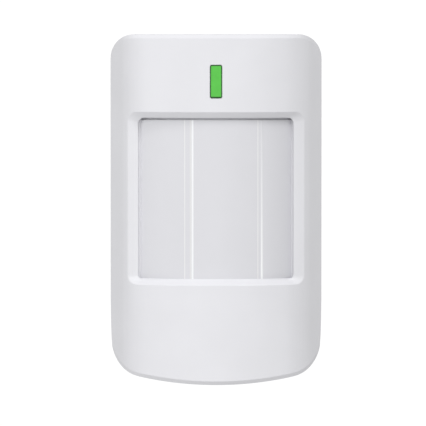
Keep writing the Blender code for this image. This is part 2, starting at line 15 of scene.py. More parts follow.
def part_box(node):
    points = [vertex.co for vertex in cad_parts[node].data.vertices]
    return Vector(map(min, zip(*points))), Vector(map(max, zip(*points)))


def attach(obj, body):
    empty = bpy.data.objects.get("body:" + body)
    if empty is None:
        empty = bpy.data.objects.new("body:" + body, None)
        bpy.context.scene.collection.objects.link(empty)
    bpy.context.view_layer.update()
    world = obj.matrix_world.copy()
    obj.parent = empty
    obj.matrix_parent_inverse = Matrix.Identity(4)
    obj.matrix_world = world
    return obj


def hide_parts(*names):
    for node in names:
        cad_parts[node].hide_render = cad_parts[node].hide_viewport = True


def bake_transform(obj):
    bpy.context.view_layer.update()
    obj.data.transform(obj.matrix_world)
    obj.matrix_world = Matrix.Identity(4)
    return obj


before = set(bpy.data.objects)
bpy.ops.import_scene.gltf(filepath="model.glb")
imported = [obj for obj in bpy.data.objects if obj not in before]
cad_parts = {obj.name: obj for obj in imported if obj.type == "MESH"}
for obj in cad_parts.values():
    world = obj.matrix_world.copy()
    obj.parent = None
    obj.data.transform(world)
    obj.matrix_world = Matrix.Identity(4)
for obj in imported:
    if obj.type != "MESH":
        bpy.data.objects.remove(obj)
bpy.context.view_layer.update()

MM = 0.001

# Directions, seen from the front.
RIGHT = (1, 0, 0)
LEFT = (-1, 0, 0)
FORWARD = (0, -1, 0)
BACKWARD = (0, 1, 0)
UP = (0, 0, 1)

# Camera, lamps and surroundings, in metres and watts. After its name a lamp has its degrees to the right
# and up, and its power.
CAMERA_SPOT = (0.0, -1.5, 0.052)
CAMERA_AIM = (-0.00087, -0.043, -0.00087)
CAMERA_LENS = 432.6
LAMPS = (
    ("lamp_upper_right", 30, 50, 8.5),
    ("lamp_upper_left", -50, 40, 3.1),
    ("lamp_left", -50, 20, 4.5),
    ("lamp_low", 0, -20, 2.4),
)
LAMP_SIZE = 0.5
LAMP_DISTANCE = 1.6
LAMP_CENTRE = (0.0, -0.03, 0.0)
WHITE = (1.0, 1.0, 1.0, 1.0)
FILL_LIGHT = 0.55
BACKDROP_LIGHT = 1.05
FLOOR_LIFT = 0.2
FLOOR_RADIUS = 6.0
FLOOR_Z = -1.0

# Outline seen from the front.
HALF_WIDTH = 30.45
HALF_HEIGHT = 50.0
TOP_CORNER = 6.9
ARCH_RADIUS = 118.0
BOTTOM_CORNER = 9.6
TAPER_RADIUS = 245.0
TAPER_START = 23.6

# Section seen from above.
DEPTH = 44.0
FRONT_RADIUS = 45.0
AXIS_Y = FRONT_RADIUS - DEPTH
CREASE_X = 25.3
CREASE_ROUNDING = 15.0
STRIP_SLOPE = 2.7
SIDE_ROUNDING = 2.0
PARTING_Y = -14.0
PARTING_GAP = 0.3
BACK_CHAMFER = 10.0
WALL = 2.0
EDGE_CHAMFER = 1.1
EDGE_ROUNDING = 0.3
RIM_ROUNDING = 0.25

# Tongue of the housing, and the hooks and slots at the top.
LIP_OUTER = 1.35
LIP_FRONT = -17.0
REBATE = 1.0
REBATE_FRONT = -17.5
TAB_NEAR = 12.0
TAB_FAR = 19.0
TAB_TOP = HALF_HEIGHT - 2.3
SIDES = ((-1, "left"), (1, "right"))

# Lens window: half width, lower edge, upper edge and corner radius of the frame's outer edge and of the
# opening. The rolls and BOTTOM_DEEPER are shares of the frame's width or depth, and the inner roll has one
# for the left and one for the right.
WINDOW_OUTER = (25.3, -21.55, 27.8, 2.6)
WINDOW_OPENING = (22.15, -20.05, 26.18, 1.6)
BEVEL_DEPTH = 1.7
BOTTOM_DEEPER = 0.15
OUTER_ROLL = 0.08
INNER_ROLL = (0.25, 0.06)
ROLL_REACH = 0.5
LENS_RADIUS = 38.0
LENS_AXIS_Y = -3.7
LENS_THICKNESS = 0.6
LENS_HALF_WIDTH = 23.1
LENS_LOW = -21.4
LENS_HIGH = 27.3
LENS_STEP = 0.45
CLAMP_THICKNESS = 1.8

# Ribs that the lens lies against, and the lines moulded on it: name, x, width, height and look. A line's look
# is
# # lighter than the lens as a painted highlight, and the right line's fades out towards the top.
LENS_SEAT_X = 21.5
LENS_SEAT_END = 23.6
LENS_SEAT_FRONT = -35.46
LENS_SEAT_BACK = -34.8
LENS_LINES = (
    ("lens_line_left", -6.7, 0.6, 0.08, "lens_line"),
    ("lens_line_right", 13.1, 0.76, 0.08, "lens_fading_line"),
    ("lens_faint_left", -8.95, 0.38, 0.04, "lens_faint_line"),
    ("lens_faint_right", 11.95, 0.38, 0.04, "lens_faint_line"),
    ("lens_fillet_left", -7.25, 0.9, 0.03, "lens_fillet"),
)

# Indicator's slot, with the same four measures as the lens window, its light pipe and the dark rim round
# # it, which is painted shade of the gap round the pipe and is wider at the bottom, and the cover screw and
# its fork.
SLOT = (1.7, 31.79, 41.25, 0.45)
PIPE_GAP = 0.2
PIPE_FRONT = -43.9
PIPE_SHADE_RIM_FRONT = -43.95
PIPE_SHADE_RIM_LIP = 0.22
SCREW_Y = -22.0
FORK_LOW = -43.0
FORK_HIGH = -41.0

# Circuit board and what stands on it. SEAT is where the parts on its front start.
BOARD_FRONT = -10.0
BOARD_BACK = -8.4
BOARD_LOW = -38.5
BOARD_HIGH = 42.0
BOARD_HALF_WIDTH = 24.5
SEAT = BOARD_FRONT - 0.3
SCREW_SPOTS = {"left": (-18.0, 24.0), "right": (18.0, -13.0)}
PEG_SPOTS = ((18.0, 24.0), (-18.0, -13.0))
SENSOR_Z = 3.5
INDICATOR_Z = 36.5
TAMPER = (15.0, 34.0)
BUTTON = (-15.0, 34.0)
BATTERY_Y = -20.6
BATTERY_Z = -27.8
JUMPER = (-19.0, 8.0)
PIN_PITCH = 2.54


# -------- objects and shader nodes


def add_object(name, data):
    thing = bpy.data.objects.new(name, data)
    bpy.context.scene.collection.objects.link(thing)
    return thing


def object_from(name, shape):
    """Object with a finished bmesh."""
    mesh = bpy.data.meshes.new(name)
    shape.to_mesh(mesh)
    shape.free()
    return add_object(name, mesh)


def set_inputs(node, values):
    """Gives a node's inputs their values, or links the outputs of other nodes to them."""
    for socket, value in values.items():
        if isinstance(value, bpy.types.NodeSocket):
            node.id_data.links.new(value, node.inputs[socket])
        else:
            node.inputs[socket].default_value = value


def add_node(tree, kind, values=None):
    node = tree.nodes.new("ShaderNode" + kind)
    set_inputs(node, values or {})
    return node


# -------- camera, floor and light


def add_camera():
    data = bpy.data.cameras.new("camera")
    data.lens = CAMERA_LENS
    data.sensor_width = 36.0
    data.clip_start = 0.1
    data.clip_end = 50.0
    camera = add_object("camera", data)
    camera.location = CAMERA_SPOT
    view = Vector(CAMERA_AIM) - camera.location
    camera.rotation_euler = view.to_track_quat("-Z", "Y").to_euler()
    bpy.context.scene.camera = camera


def add_softbox(name, azimuth, elevation, power):
    """Square lamp that faces the part. The azimuth runs from the front to the right."""
    data = bpy.data.lights.new(name, "AREA")
    data.shape = "RECTANGLE"
    data.size = LAMP_SIZE
    data.size_y = LAMP_SIZE
    data.energy = power
    lamp = add_object(name, data)
    turn, lift = radians(azimuth), radians(elevation)
    out = Vector((sin(turn) * cos(lift), -cos(turn) * cos(lift), sin(lift)))
    lamp.location = Vector(LAMP_CENTRE) + LAMP_DISTANCE * out
    lamp.rotation_euler = (-out).to_track_quat("-Z", "Y").to_euler()


def add_backdrop():
    """Surroundings that light the part softly and that the camera sees as white."""
    world = bpy.data.worlds.new("studio")
    bpy.context.scene.world = world
    world.use_nodes = True
    tree = world.node_tree
    fill = tree.nodes["Background"]
    set_inputs(fill, {"Color": (1.0, 1.0, 0.98, 1.0), "Strength": FILL_LIGHT})
    backdrop = add_node(tree, "Background", {"Color": WHITE, "Strength": BACKDROP_LIGHT})
    seen = add_node(tree, "LightPath").outputs["Is Camera Ray"]
    either = add_node(tree, "MixShader", {0: seen, 1: fill.outputs[0], 2: backdrop.outputs[0]})
    set_inputs(tree.nodes["World Output"], {"Surface": either.outputs[0]})


def add_studio():
    """White surroundings, three lamps above, a weak one below, and a pale floor well under the part."""
    add_backdrop()
    for lamp in LAMPS:
        add_softbox(*lamp)
    shape = bmesh.new()
    bmesh.ops.create_circle(shape, cap_ends=True, segments=96, radius=FLOOR_RADIUS)
    floor = object_from("floor", shape)
    floor.location = (0.0, 0.0, FLOOR_Z)
    floor.data.materials.append(floor_paper())


# -------- materials


def new_surface(name):
    """A material with its node tree and its Principled BSDF."""
    made = bpy.data.materials.new(name)
    made.use_nodes = True
    return made, made.node_tree, made.node_tree.nodes["Principled BSDF"]


def noise(tree, size, detail=3.0, stretch=(1, 1, 1)):
    """Noise in object space whose blotches are about size millimetres across."""
    place = add_node(tree, "TexCoord").outputs["Object"]
    place = add_node(tree, "Mapping", {"Vector": place, "Scale": stretch}).outputs["Vector"]
    values = {"Vector": place, "Scale": 1.0 / (size * MM), "Detail": detail}
    return add_node(tree, "TexNoise", values).outputs["Fac"]


def spread(tree, value, low=0.0, high=1.0):
    """Maps the middle of a noise value to the range from low to high."""
    values = {"Value": value, "From Min": 0.3, "From Max": 0.7, "To Min": low, "To Max": high}
    return add_node(tree, "MapRange", values).outputs["Result"]


def opaque(colour, share=1.0):
    """The colour with each of its parts multiplied by share, and with full alpha."""
    return (*[min(c * share, 1.0) for c in colour], 1.0)


def shade_between(tree, value, dark, light):
    made = add_node(tree, "Mix")
    made.data_type = "RGBA"
    set_inputs(made, {"Factor": value, "A": dark, "B": light})
    return made.outputs["Result"]


def fade(tree, shade, axis, start, end, colour):
    """Turns shade into colour between two places along one of the object's axes, in mm."""
    place = add_node(tree, "TexCoord").outputs["Object"]
    place = add_node(tree, "SeparateXYZ", {"Vector": place}).outputs[axis]
    values = {"Value": place, "From Min": start * MM, "From Max": end * MM}
    along = add_node(tree, "MapRange", values).outputs["Result"]
    return shade_between(tree, along, shade, opaque(colour))


def relief(tree, value, height):
    """Normal with fine relief of the given height in millimetres."""
    values = {"Height": value, "Strength": 1.0, "Distance": height * MM}
    return add_node(tree, "Bump", values).outputs["Normal"]


def moulded(name, colour, roughness, grain=0.35, depth=0.004, mottle=0.015, coat=0.0):
    """Moulded plastic: fine spark-eroded grain, faint colour drift and uneven gloss."""
    made, tree, surface = new_surface(name)
    drift = spread(tree, noise(tree, 14.0))
    shade = shade_between(tree, drift, opaque(colour, 1 - mottle), opaque(colour, 1 + mottle))
    gloss = spread(tree, noise(tree, 5.0), roughness - 0.03, roughness + 0.03)
    normal = relief(tree, noise(tree, grain, 2.0), depth)
    set_inputs(surface, {"Base Color": shade, "Roughness": gloss, "Normal": normal})
    set_inputs(surface, {"Coat Weight": coat, "Coat Roughness": 0.08})
    return made


def metal(name, colour, roughness, stretch=(1, 1, 1), depth=0.003):
    """Bare or plated metal with fine scratches, drawn out along the axis where stretch is small."""
    made, tree, surface = new_surface(name)
    worn = noise(tree, 0.3, 4.0, stretch)
    shade = shade_between(tree, noise(tree, 3.0), opaque(colour, 0.86), opaque(colour))
    gloss = spread(tree, worn, roughness - 0.08, roughness + 0.08)
    normal = relief(tree, worn, depth)
    set_inputs(surface, {"Base Color": shade, "Roughness": gloss, "Normal": normal, "Metallic": 1.0})
    return made


def milky(name, colour, roughness, upper=None, right=None):
    """Milky white sheet under a smooth skin. upper is its colour at the window's upper edge, where a painted
    highlight fades out, and right its colour at the sheet's right edge, darker there as painted shade. Each
    is given where they differ.
    """
    made, tree, surface = new_surface(name)
    cloud = spread(tree, noise(tree, 9.0))
    shade = shade_between(tree, cloud, opaque(colour, 0.985), opaque(colour))
    if upper:
        # Painted highlight that fades out towards the window's upper edge.
        shade = fade(tree, shade, "Z", WINDOW_OPENING[1], WINDOW_OPENING[2], upper)
    if right:
        # Painted shade: the sheet turns darker towards its right edge.
        shade = fade(tree, shade, "X", 0.55 * LENS_HALF_WIDTH, LENS_HALF_WIDTH, right)
    gloss = spread(tree, noise(tree, 4.0), roughness - 0.02, roughness + 0.02)
    normal = relief(tree, noise(tree, 1.2, 1.0), 0.001)
    set_inputs(surface, {"Base Color": shade, "Roughness": gloss, "Normal": normal})
    return made


def tinted_resin(name, colour, roughness):
    """Clear coloured plastic with faint clouds."""
    made, tree, surface = new_surface(name)
    cloud = spread(tree, noise(tree, 2.5))
    shade = shade_between(tree, cloud, opaque(colour, 0.9), opaque(colour))
    gloss = spread(tree, noise(tree, 1.0), roughness - 0.02, roughness + 0.02)
    set_inputs(surface, {"Base Color": shade, "Roughness": gloss})
    return made


def floor_paper():
    """Pale paper that the camera sees lighter than the soft light on it would make it."""
    made = moulded("floor_paper", (0.86, 0.86, 0.86), 0.7, grain=2.0, depth=0.02)
    tree = made.node_tree
    seen = add_node(tree, "LightPath").outputs["Is Camera Ray"]
    lift = add_node(tree, "Math", {0: seen, 1: FLOOR_LIFT})
    lift.operation = "MULTIPLY"
    values = {"Emission Color": WHITE, "Emission Strength": lift.outputs[0]}
    set_inputs(tree.nodes["Principled BSDF"], values)
    return made


def make_materials():
    """Every look by its name. Most are material slots, and the others vary the look within a slot."""
    looks = {}

    def add(kind, name, *numbers, **options):
        looks[name] = kind(name, *numbers, **options)

    add(moulded, "case_white", (0.80, 0.80, 0.84), 0.45)
    # lens_white turns darker towards the lens's right edge: painted shade.
    add(milky, "lens_white", (0.745, 0.745, 0.785), 0.3, right=(0.68, 0.68, 0.72))
    # The lines' looks are lighter than the lens: painted highlights. The right line's highlight fades out
    # towards the window's upper edge.
    add(milky, "lens_line", (0.96, 0.97, 1.0), 0.25)
    add(milky, "lens_fading_line", (0.97, 0.98, 1.0), 0.25, (0.74, 0.74, 0.78))
    add(milky, "lens_faint_line", (0.86, 0.86, 0.88), 0.3)
    add(milky, "lens_fillet", (0.79, 0.79, 0.81), 0.3)
    add(moulded, "inner_white", (0.74, 0.74, 0.74), 0.5)
    add(tinted_resin, "green_light_pipe", (0.113, 0.60, 0.078), 0.25)
    # Dark green of the line round the indicator: painted shade of the gap round its window.
    add(tinted_resin, "green_edge", (0.01, 0.085, 0.008), 0.5)
    add(moulded, "black_plastic", (0.022, 0.022, 0.024), 0.42, mottle=0.2)
    add(moulded, "red_plastic", (0.55, 0.03, 0.02), 0.4, mottle=0.06)
    add(moulded, "blue_plastic", (0.03, 0.08, 0.45), 0.4, mottle=0.06)
    add(moulded, "board_green", (0.02, 0.15, 0.055), 0.3, 0.6, 0.003, 0.12, coat=0.5)
    add(moulded, "trace_green", (0.035, 0.23, 0.09), 0.3, 0.6, 0.003, 0.1, coat=0.5)
    add(metal, "steel", (0.62, 0.62, 0.60), 0.3)
    add(metal, "tin", (0.72, 0.71, 0.69), 0.35)
    add(metal, "aluminium", (0.78, 0.78, 0.79), 0.35, (1, 0.1, 1))
    add(metal, "copper", (0.72, 0.40, 0.25), 0.3)
    add(metal, "silicon_filter", (0.09, 0.08, 0.11), 0.15, depth=0.0005)
    add(tinted_resin, "led_resin", (0.45, 0.78, 0.45), 0.12)
    add(moulded, "battery_wrapper", (0.30, 0.31, 0.34), 0.3, 0.8, 0.003, 0.05, coat=0.3)
    add(moulded, "battery_band", (0.62, 0.34, 0.05), 0.3, 0.8, 0.003, 0.05, coat=0.3)
    add(moulded, "ceramic", (0.42, 0.33, 0.22), 0.4, mottle=0.08)
    return looks


# -------- shapes, in millimetres


def raw(name, shape):
    """Turns a bmesh drawn in millimetres into an object in metres."""
    bmesh.ops.recalc_face_normals(shape, faces=shape.faces)
    shape.transform(Matrix.Scale(MM, 4))
    return object_from(name, shape)


def loft(name, rings):
    """Closed solid through a row of rings, each with the same number of points."""
    shape = bmesh.new()
    rows = [[shape.verts.new(point) for point in ring] for ring in rings]
    count = len(rows[0])
    for row, following in zip(rows, rows[1:]):
        for i in range(count):
            j = (i + 1) % count
            shape.faces.new((row[i], row[j], following[j], following[i]))
    shape.faces.new(rows[0])
    shape.faces.new(rows[-1])
    return raw(name, shape)


def rounded(points, radius, steps=3, closed=True):
    """The same outline with its corners turned into curves. radius is one number, or one for each corner."""
    outline = []
    count = len(points)
    for i, corner in enumerate(points):
        here = Vector(corner)
        if not closed and i in (0, count - 1):
            outline.append(here)
            continue
        size = radius if isinstance(radius, (int, float)) else radius[i]
        back = Vector(points[i - 1]) - here
        ahead = Vector(points[(i + 1) % count]) - here
        reach = size / tan(back.angle(ahead) / 2)
        reach = min(reach, 0.49 * back.length, 0.49 * ahead.length)
        first = here + back.normalized() * reach
        last = here + ahead.normalized() * reach
        for k in range(steps + 1):
            t = k / steps
            outline.append(first * (1 - t) ** 2 + here * 2 * t * (1 - t) + last * t * t)
    return outline


def block(name, low, high, radius=0.15):
    """Box with rounded edges."""
    shape = bmesh.new()
    bmesh.ops.create_cube(shape, size=1)
    size = Vector(high) - Vector(low)
    for vert in shape.verts:
        vert.co = Vector(low) + Vector([(vert.co[i] + 0.5) * size[i] for i in range(3)])
    if radius:
        bmesh.ops.bevel(shape, geom=shape.edges[:], offset=radius, segments=3, profile=0.5, affect="EDGES")
    return raw(name, shape)


def turned(name, start, direction, profile, sides=64, radius=0.0):
    """Solid of revolution. The profile lists (distance along the axis, radius)."""
    turn = Vector(direction).to_track_quat("Z", "Y")
    if radius:
        profile = rounded(profile, radius, closed=False)
    angles = [2 * pi * i / sides for i in range(sides)]
    rings = []
    for along, spoke in profile:
        ring = [Vector((spoke * cos(angle), spoke * sin(angle), along)) for angle in angles]
        rings.append([Vector(start) + turn @ point for point in ring])
    return loft(name, rings)


def rod(name, start, direction, radius, length, sides=64):
    """Plain round bar, or the cutter for a bore."""
    return turned(name, start, direction, [(0, radius), (length, radius)], sides)


def wire(name, path, radius, sides=14):
    """Round wire along a list of points, with rounded ends."""
    path = [Vector(point) for point in path]
    angles = [2 * pi * i / sides for i in range(sides)]
    rings = []
    side = None
    for i, point in enumerate(path):
        ahead = (path[min(i + 1, len(path) - 1)] - path[max(i - 1, 0)]).normalized()
        side = ahead.orthogonal() if side is None else side
        side = (side - ahead * side.dot(ahead)).normalized()
        up = ahead.cross(side)
        rings.append([point + radius * (cos(angle) * side + sin(angle) * up) for angle in angles])
    return loft(name, rings)


def coil_path(centre, axis, radii, length, turns, steps=28):
    """Points of a coil that starts at centre and grows along the axis, from the first radius to the last."""
    turn = Vector(axis).to_track_quat("Z", "Y")
    first, last = radii
    path = []
    for i in range(int(turns * steps) + 1):
        part = i / (turns * steps)
        angle = 2 * pi * turns * part
        radius = first + (last - first) * part
        spoke = Vector((radius * cos(angle), radius * sin(angle), length * part))
        path.append(Vector(centre) + turn @ spoke)
    return path


def settle(thing):
    """Makes the modifiers' result the object's own mesh, and removes the solids that they used."""
    used = [step.object for step in thing.modifiers if step.type == "BOOLEAN"]
    graph = bpy.context.evaluated_depsgraph_get()
    mesh = bpy.data.meshes.new_from_object(thing.evaluated_get(graph))
    thing.modifiers.clear()
    thing.data = mesh
    for helper in set(used):
        bpy.data.objects.remove(helper)
    return thing


def combine(target, operation, helpers):
    """Lists the solids to be cut from the target or joined to it. settle() works them in."""
    for helper in helpers:
        step = target.modifiers.new(helper.name, "BOOLEAN")
        step.operation = operation
        step.solver = "EXACT"
        step.object = helper
    return target


def cut(target, *helpers):
    return combine(target, "DIFFERENCE", helpers)


def join(target, *helpers):
    return combine(target, "UNION", helpers)


def group(name, things):
    """One piece from several solids that stay apart."""
    shape = bmesh.new()
    for thing in things:
        settle(thing)
        shape.from_mesh(thing.data)
        bpy.data.objects.remove(thing)
    return object_from(name, shape)


def dress(thing, slot, *stands_for, body="housing", look=None, crease=35):
    """Gives a finished shape its material and smooth shading, lets it ride on its body, and hides the CAD
    nodes that it stands for. Its look has the slot's name unless another is given.
    """
    settle(thing)
    thing.data.materials.clear()
    thing.data.materials.append(MATERIALS[look or slot])
    thing.data.shade_smooth()
    thing.data.set_sharp_from_angle(angle=radians(crease))
    step = thing.modifiers.new("normals", "WEIGHTED_NORMAL")
    step.keep_sharp = True
    step.weight = 90
    if body:
        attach(thing, body)
    if stands_for:
        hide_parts(*stands_for)
    return thing


def node_box(node):
    """Lower and upper corner of a CAD node."""
    return [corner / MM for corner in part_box(node)]


# -------- the case's outline and front


def top_z(x, inset):
    """Upper edge of the outline, moved in by inset."""
    beyond = max(abs(x) - (HALF_WIDTH - TOP_CORNER), 0)
    return HALF_HEIGHT - TOP_CORNER + sqrt(max((TOP_CORNER - inset) ** 2 - beyond**2, 0))


def bottom_arcs():
    """Centres of the three arcs of the lower edge, which meet smoothly: arch, corner and side taper."""
    arch = Vector((0, ARCH_RADIUS - HALF_HEIGHT))
    taper = Vector((HALF_WIDTH - TAPER_RADIUS, TAPER_START - HALF_HEIGHT))
    near = ARCH_RADIUS - BOTTOM_CORNER
    far = TAPER_RADIUS - BOTTOM_CORNER
    between = taper - arch
    along = (near**2 - far**2 + between.length_squared) / (2 * between.length)
    across = sqrt(near**2 - along**2)
    ahead = between.normalized()
    corner = arch + along * ahead + across * Vector((-ahead.y, ahead.x))
    return arch, corner, taper


def bottom_z(x, inset):
    """Lower edge of the outline, moved in by inset."""
    x = abs(x)
    arch, corner, taper = bottom_arcs()
    arch_end = (arch + (corner - arch).normalized() * (ARCH_RADIUS - inset)).x
    corner_end = (taper + (corner - taper).normalized() * (TAPER_RADIUS - inset)).x
    if x <= arch_end:
        centre, radius = arch, ARCH_RADIUS
    elif x <= corner_end:
        centre, radius = corner, BOTTOM_CORNER
    else:
        centre, radius = taper, TAPER_RADIUS
    return centre.y - sqrt(max((radius - inset) ** 2 - (x - centre.x) ** 2, 0))


def inner_front_y(x, inset):
    """Depth of the front's inner side: a cylinder in the middle and a steep flat strip at each side."""
    x = abs(x)
    crease_y = AXIS_Y - sqrt(FRONT_RADIUS**2 - CREASE_X**2)
    strip = crease_y + STRIP_SLOPE * (x - CREASE_X) + inset * sqrt(1 + STRIP_SLOPE**2)
    if x > CREASE_X:
        return strip
    return max(strip, AXIS_Y - sqrt((FRONT_RADIUS - inset) ** 2 - x**2))


def front_curve():
    """Centres of the roundings along the crease and along the side edge, and where each curve ends."""
    slant = sqrt(1 + STRIP_SLOPE**2)
    lean = atan(STRIP_SLOPE)
    crease_y = AXIS_Y - sqrt(FRONT_RADIUS**2 - CREASE_X**2)
    strip_reach = (CREASE_X * STRIP_SLOPE - crease_y) / slant
    near = FRONT_RADIUS - CREASE_ROUNDING
    turn = lean - acos((strip_reach - CREASE_ROUNDING + AXIS_Y / slant) / near)
    crease = Vector((near * sin(turn), AXIS_Y - near * cos(turn)))
    side_x = HALF_WIDTH - SIDE_ROUNDING
    side = Vector((side_x, STRIP_SLOPE * side_x - slant * (strip_reach - SIDE_ROUNDING)))
    ends = (
        FRONT_RADIUS * sin(turn),
        crease.x + CREASE_ROUNDING * sin(lean),
        side.x + SIDE_ROUNDING * sin(lean),
    )
    return crease, side, ends, turn, lean


def front_y(x):
    """Depth of the front: a cylinder, a rounded crease, a steep strip and a rounded edge to the side."""
    x = abs(x)
    crease, side, ends, _, lean = front_curve()
    if x <= ends[0]:
        return AXIS_Y - sqrt(FRONT_RADIUS**2 - x**2)
    if x <= ends[1]:
        return crease.y - sqrt(CREASE_ROUNDING**2 - (x - crease.x) ** 2)
    if x <= ends[2]:
        start = crease.y - CREASE_ROUNDING * cos(lean)
        return start + STRIP_SLOPE * (x - ends[1])
    return side.y - sqrt(max(SIDE_ROUNDING**2 - (x - side.x) ** 2, 0))


def stations(inset, front=False):
    """X positions of the case's sections, close together where its outline or its front turns."""
    half_width = HALF_WIDTH - inset
    corner_x = HALF_WIDTH - TOP_CORNER
    half = [corner_x * i / 22 for i in range(1, 23)]
    half += [corner_x + (half_width - corner_x) * sin(radians(5 * i)) for i in range(1, 19)]
    if front:
        crease, side, _, turn, lean = front_curve()
        for i in range(9):
            half.append(crease.x + CREASE_ROUNDING * sin(turn + (lean - turn) * i / 8))
        for i in range(5):
            half.append(side.x + SIDE_ROUNDING * sin(lean + (pi / 2 - lean) * i / 5))
    half.sort()
    kept = []
    for x in half:
        if not kept or x - kept[-1] > 0.04:
            kept.append(x)
    kept[-1] = half_width
    return [-x for x in reversed(kept)] + [0.0] + kept


def body_form(name, inset, near, far):
    """Plain solid with the case's outline moved in by inset, between two depths that depend on x."""
    rings = []
    for x in stations(inset):
        low, high = bottom_z(x, inset), top_z(x, inset)
        rings.append([(x, far(x), high), (x, near(x), high), (x, near(x), low), (x, far(x), low)])
    return loft(name, rings)


def edge_share(x):
    """Share of the chamfer's height that is left where the outline turns upright at the sides."""
    beyond = max(abs(x) - (HALF_WIDTH - TOP_CORNER), 0) / TOP_CORNER
    return min(1.0, 0.3 + 1.6 * sqrt(max(1 - beyond**2, 0)))


def cover_form():
    """Outer solid of the cover, with its chamfered and slightly rounded upper and lower edges."""
    back = PARTING_Y - PARTING_GAP
    rings = []
    for x in stations(0, front=True):
        low, high, front = bottom_z(x, 0), top_z(x, 0), front_y(x)
        chamfer = EDGE_CHAMFER * edge_share(x)
        section = [
            (back, high),
            (front + chamfer, high),
            (front, high - chamfer),
            (front, low + chamfer),
            (front + chamfer, low),
            (back, low),
        ]
        soft = [RIM_ROUNDING] + [EDGE_ROUNDING] * 4 + [RIM_ROUNDING]
        rings.append([(x, y, z) for y, z in rounded(section, soft)])
    return loft("cover_shell", rings)


def window_loop(half_width, low, high, radius, span_steps=36):
    """Rounded rectangle in x and z, with points along its long edges to follow the curved front."""
    loop = []
    reach = half_width - radius
    upper = ((reach, high - radius, 0), (-reach, high - radius, 90))
    lower = ((-reach, low + radius, 180), (reach, low + radius, 270))
    for x, z, first in upper + lower:
        for i in range(10):
            angle = radians(first + 10 * i)
            loop.append((x + radius * cos(angle), z + radius * sin(angle)))
        if first in (0, 180):
            edge_z = high if first == 0 else low
            loop += [(x - 2 * x * i / span_steps, edge_z) for i in range(1, span_steps)]
    return loop


def share_of(value, start, length):
    """How far value is past start, as a share of length between 0 and 1."""
    return min(max((value - start) / length, 0.0), 1.0)


def window_cutter():
    """The window's frame and the opening behind it. The frame is flat across, rolled over softly at its
    outer edge all round and at the inner edge of its sides, and a little deeper along the bottom. A ring's
    part runs from 0 at the opening to 1 at the frame's outer edge.
    """
    outer = window_loop(*WINDOW_OUTER)
    opening = window_loop(*WINDOW_OPENING)
    half_width, low, _, radius = WINDOW_OPENING

    def ring(part, drop):
        points = []
        for (x0, z0), (x1, z1) in zip(opening, outer):
            on_side = share_of(abs(x0), half_width - radius, radius)
            on_bottom = share_of(-z0, -low - radius, radius)
            inner_y = AXIS_Y - sqrt((FRONT_RADIUS - BEVEL_DEPTH) ** 2 - x0**2)
            near = min(part, 0.98)  # further out the flat and the front meet, and fall has no value
            flat_y = inner_y + near * (front_y(x1) - inner_y)
            fall = (flat_y - front_y(x0 + near * (x1 - x0))) / (1 - near)
            roll_in = INNER_ROLL[x0 > 0] * on_side * max(0, 1 - part / ROLL_REACH) ** 2
            x, z = x0 + part * (x1 - x0), z0 + part * (z1 - z0)
            points.append((x, front_y(x) + fall * (drop * (1 + BOTTOM_DEEPER * on_bottom) + roll_in), z))
        return points

    rings = [[(x, -60, z) for x, _, z in ring(1 + 0.8 * OUTER_ROLL, 0)]]
    for share in (0.8, 0.5, 0.2, -0.1, -0.4, -0.7, -1.0):
        rings.append(ring(1 + share * OUTER_ROLL, OUTER_ROLL * (1 - share) ** 2 / 4))
    for part in (0.7, 0.5, 0.4, 0.3, 0.2, 0.1, 0.0):
        rings.append(ring(part, 1 - part))
    rings.append([(x, -30, z) for x, _, z in ring(0.0, 1.0)])
    return loft("window_cutter", rings)


def slot_loop(grow, y):
    """Outline of the indicator's slot at the depth y, grown to all sides."""
    half_width, low, high, radius = SLOT
    loop = window_loop(half_width + grow, low - grow, high + grow, radius + grow, 4)
    return [(x, y, z) for x, z in loop]


def cover_tabs():
    """The two hooks by which the cover hangs in the housing's top wall."""
    pieces = []
    low = TAB_TOP - 1.5
    for side, _ in SIDES:
        x0, x1 = sorted((TAB_NEAR * side, TAB_FAR * side))
        pieces.append(block("hanger", (x0, -20.5, low), (x1, -18.0, HALF_HEIGHT - 1.4), 0))
        pieces.append(block("arm", (x0, -20.4, low), (x1, -9.6, TAB_TOP), 0.25))
        pieces.append(block("nib", (x0, -11.8, TAB_TOP - 0.5), (x1, -10.2, HALF_HEIGHT - 1.2), 0.2))
    return pieces


def make_cover():
    """Shell with its window, indicator slot, tamper rib, screw boss and hooks."""
    cover = cover_form()
    hollow = body_form("cover_hollow", WALL, lambda x: inner_front_y(x, WALL), lambda x: -5)
    rebate = body_form("cover_rebate", REBATE, lambda x: REBATE_FRONT, lambda x: -4)
    slot_edge = ((0.14, -50), (0.14, -43.96), (0, -43.8), (0, -36))
    slot = loft("slot_cutter", [slot_loop(grow, y) for grow, y in slot_edge])
    rib = block("tamper_rib", (13.5, -40.3, 32.5), (16.5, -20.3, 35.5), 0.2)
    boss = rod("screw_boss", (0, SCREW_Y, -49.3), UP, 4.0, 2.9)
    bore = [(-3.0, 3.1), (0.55, 3.1), (0.75, 2.9), (5.4, 2.9)]
    head_room = turned("screw_counterbore", (0, SCREW_Y, -50.4), UP, bore)
    clearance = rod("screw_clearance", (0, SCREW_Y, -52), UP, 1.5, 9)
    cut(cover, hollow, rebate, window_cutter(), slot)
    join(cover, rib, boss, *cover_tabs())
    cut(cover, head_room, clearance)
    dress(cover, "case_white", "front_cover", body="cover")


# -------- lens, its clamp and the light pipe


def sheet_rings(radius, section, half_width, steps, softness=0.1):
    """Sections of a sheet bent round the lens's upright axis. section lists (depth in the sheet, z)."""
    rings = []
    for i in range(steps + 1):
        x = half_width * (2 * i / steps - 1)
        outline = [(LENS_AXIS_Y - sqrt((radius - depth) ** 2 - x**2), z) for depth, z in section]
        if softness:
            outline = rounded(outline, softness, 2)
        rings.append([(x, y, z) for y, z in outline])
    return rings


